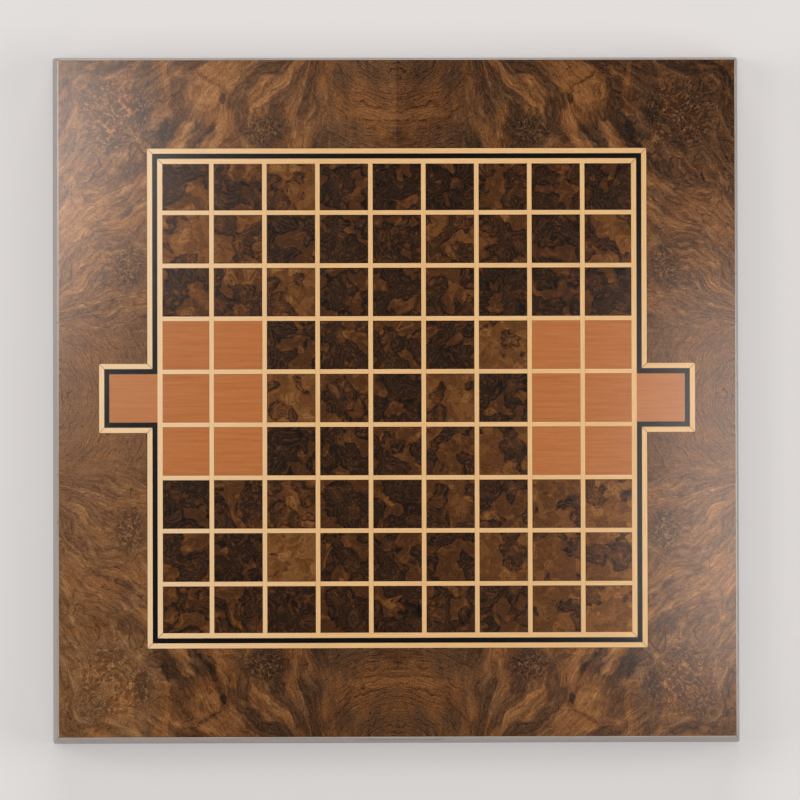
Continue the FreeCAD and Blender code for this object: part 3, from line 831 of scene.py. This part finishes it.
def screw_tree(brass):
    """Countersunk slotted screws, one on each point, each stopped at its own angle."""
    tree = bpy.data.node_groups.new("countersunk_screws", "GeometryNodeTree")
    tree.interface.new_socket("Geometry", in_out="INPUT", socket_type="NodeSocketGeometry")
    sockets = {}
    for size, value in SCREW_SIZES.items():
        sockets[size] = tree.interface.new_socket(size, in_out="INPUT", socket_type="NodeSocketFloat")
        sockets[size].default_value = value
    tree.interface.new_socket("Geometry", in_out="OUTPUT", socket_type="NodeSocketGeometry")
    given = tree.nodes.new("NodeGroupInput")
    result = tree.nodes.new("NodeGroupOutput")

    def step(kind, links, **settings):
        made = tree.nodes.new(kind)
        for name, value in settings.items():
            setattr(made, name, value)
        for name, value in links.items():
            if isinstance(value, bpy.types.NodeSocket):
                tree.links.new(value, made.inputs[name])
            else:
                made.inputs[name].default_value = value
        return made

    def sum_of(operation, first, second):
        return step("ShaderNodeMath", {0: first, 1: second}, operation=operation).outputs[0]

    def between(value, low, high, to_low, to_high):
        links = {0: value, 1: low, 2: high, 3: to_low, 4: to_high}
        return step("ShaderNodeMapRange", links).outputs[0]

    size = given.outputs
    down = step("ShaderNodeCombineXYZ", {2: sum_of("MULTIPLY", size["Length"], -1.0)}).outputs[0]
    middle_line = step("GeometryNodeCurvePrimitiveLine", {"End": down}).outputs[0]
    counted = step("GeometryNodeResampleCurve", {"Curve": middle_line, "Count": 67}).outputs[0]
    depth = step("GeometryNodeSplineParameter", {}).outputs["Length"]
    head = between(depth, 0.00012, size["Head Height"], size["Head Radius"], size["Core Radius"])
    turns = sum_of("DIVIDE", depth, size["Thread Pitch"])
    ridge = sum_of("PINGPONG", turns, 0.5)
    thread = between(ridge, 0.0, 0.5, size["Core Radius"], size["Thread Radius"])
    tip_start = sum_of("SUBTRACT", size["Length"], size["Tip Length"])
    taper = between(depth, tip_start, size["Length"], 1.0, 0.25)
    shank = sum_of("MULTIPLY", thread, taper)
    in_head = sum_of("LESS_THAN", depth, size["Head Height"])
    head_part = sum_of("MULTIPLY", head, in_head)
    shank_part = sum_of("MULTIPLY", shank, sum_of("SUBTRACT", 1.0, in_head))
    radius = sum_of("ADD", head_part, shank_part)
    outline = step("GeometryNodeCurvePrimitiveCircle", {"Resolution": 20, "Radius": 1.0}).outputs[0]
    body = step("GeometryNodeCurveToMesh", {"Curve": counted, "Profile Curve": outline,
                                            "Scale": radius, "Fill Caps": True}).outputs[0]
    slot_long = sum_of("MULTIPLY", size["Head Radius"], 2.4)
    slot_deep = sum_of("MULTIPLY", size["Slot Depth"], 2.0)
    slot_size = step("ShaderNodeCombineXYZ", {0: slot_long, 1: size["Slot Width"], 2: slot_deep}).outputs[0]
    slot = step("GeometryNodeMeshCube", {"Size": slot_size}).outputs["Mesh"]
    screw = step("GeometryNodeMeshBoolean", {"Mesh 1": body, "Mesh 2": slot}, operation="DIFFERENCE",
                 solver="EXACT").outputs["Mesh"]
    turn = step("FunctionNodeRandomValue", {"Max": math.pi, "Seed": 5}, data_type="FLOAT")
    turn = [socket for socket in turn.outputs if socket.enabled][0]
    stand = step("ShaderNodeCombineXYZ", {0: size["Turned Over"], 2: turn}).outputs[0]
    placed = step("GeometryNodeInstanceOnPoints", {"Points": size["Geometry"], "Instance": screw,
                                                   "Rotation": stand}).outputs[0]
    real = step("GeometryNodeRealizeInstances", {"Geometry": placed}).outputs[0]
    finished = step("GeometryNodeSetMaterial", {"Geometry": real, "Material": brass}).outputs[0]
    tree.links.new(finished, result.inputs[0])
    return tree, sockets


def hinge_screws(brass):
    """Six brass screws for each side of the hinges."""
    tree, sockets = screw_tree(brass)
    for body, turned_over in (("base", 0.0), ("lid", math.pi)):
        node = "hinge_screws_" + body
        low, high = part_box(node)
        height = low[2] if turned_over else high[2]
        line = (low[1] + high[1]) / 2
        places = [(side * along * MM, line, height) for side in (-1, 1) for along in (140, 160, 180)]
        points = mesh_object(node + "_points", places, [], brass)
        modifier = points.modifiers.new("screws", "NODES")
        modifier.node_group = tree
        for size, value in dict(SCREW_SIZES, **{"Turned Over": turned_over}).items():
            modifier[sockets[size].identifier] = value
        ready = points.evaluated_get(bpy.context.evaluated_depsgraph_get())
        mesh = bpy.data.meshes.new_from_object(ready)
        points.modifiers.remove(modifier)
        bpy.data.objects.remove(points)
        screws = bpy.data.objects.new("brass_screws_" + body, mesh)
        bpy.context.scene.collection.objects.link(screws)
        outward(mesh)
        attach(screws, body)
        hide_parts(node)


def outward(mesh):
    """Turn every face of closed shells outwards."""
    shell = bmesh.new()
    shell.from_mesh(mesh)
    bmesh.ops.remove_doubles(shell, verts=shell.verts, dist=1e-6)
    bmesh.ops.recalc_face_normals(shell, faces=shell.faces)
    shell.to_mesh(mesh)
    shell.free()


def studio():
    """A plain pale floor, two soft lamps and an even sky."""
    size = 4.0
    floor = mesh_object("floor", [(-size, -size, 0), (size, -size, 0), (size, size, 0), (-size, size, 0)],
                        [(0, 1, 2, 3)], None)
    material, shader, place = new_material("pale_floor", Roughness=0.75, Specular_IOR_Level=0.2)
    speck = place.cloud(0.9, 2.0, 0.5)
    paper = speck.ramp([(0.3, (0.79, 0.765, 0.755)), (0.7, (0.82, 0.795, 0.785))])
    connect(shader, Base_Color=paper)
    seen = speck.node("LightPath", {}, output="Is Camera Ray")
    seen = seen + speck.node("LightPath", {}, output="Is Glossy Ray")
    seen = (seen + speck.node("LightPath", {}, output="Is Transmission Ray")).at_most(1.0)
    plain = paper.node("Emission", {"Color": (0.76, 0.735, 0.73, 1.0), "Strength": 1.0})
    lit = Value(material.node_tree, shader.outputs[0])
    mixed = paper.node("MixShader", {0: seen * 0.45, 1: lit, 2: plain})
    surface = material.node_tree.nodes["Material Output"].inputs["Surface"]
    material.node_tree.links.new(mixed.socket, surface)
    floor.data.materials.clear()
    floor.data.materials.append(material)

    def lamp(name, place, target, size, power, colour):
        light = bpy.data.lights.new(name, "AREA")
        light.shape = "RECTANGLE"
        light.size, light.size_y = size
        light.energy = power
        light.color = colour
        shape = bpy.data.objects.new(name, light)
        shape.location = place
        direction = Vector(target) - Vector(place)
        shape.rotation_euler = direction.to_track_quat("-Z", "Y").to_euler()
        bpy.context.scene.collection.objects.link(shape)

    lamp("soft_left", (-1.7, 0.10, 1.9), (0, 0, 0), (1.3, 1.3), 18.0, (1.0, 0.985, 0.97))
    lamp("soft_right", (1.7, -0.05, 1.9), (0, 0, 0), (1.3, 1.3), 18.5, (1.0, 0.985, 0.975))
    lamp("soft_back", (0.0, 1.9, 1.9), (0, 0, 0), (1.3, 1.3), 23.5, (1.0, 0.985, 0.975))
    lamp("soft_front", (0.0, -2.0, 1.7), (0, 0, 0), (1.3, 1.3), 9.0, (1.0, 0.985, 0.975))
    lamp("sheen_left", (-0.513, 0.266, 1.800), (-0.1, 0.05, 0), (0.415, 0.415), 4.6, (1.0, 0.97, 0.95))
    lamp("sheen_right", (0.459, -0.066, 1.303), (0.1, -0.05, 0), (0.373, 0.373), 2.2, (1.0, 0.97, 0.95))

    world = bpy.data.worlds.new("even_sky")
    bpy.context.scene.world = world
    world.use_nodes = True
    world.node_tree.nodes["Background"].inputs[0].default_value = (0.96, 0.97, 1.0, 1.0)
    world.node_tree.nodes["Background"].inputs[1].default_value = 0.04

    camera = bpy.data.cameras.new("camera")
    camera.sensor_width = 36.0
    camera.lens = 246.08
    shape = bpy.data.objects.new("camera", camera)
    shape.location = (-0.0535, -0.0778, 4.078)
    shape.rotation_euler = [math.radians(angle) for angle in (1.094, -0.792, -0.135)]
    bpy.context.scene.collection.objects.link(shape)
    bpy.context.scene.camera = shape


def main():
    dress_frame()
    soften(suede_material())
    studio()
    bpy.context.scene.view_settings.view_transform = "Standard"


main()
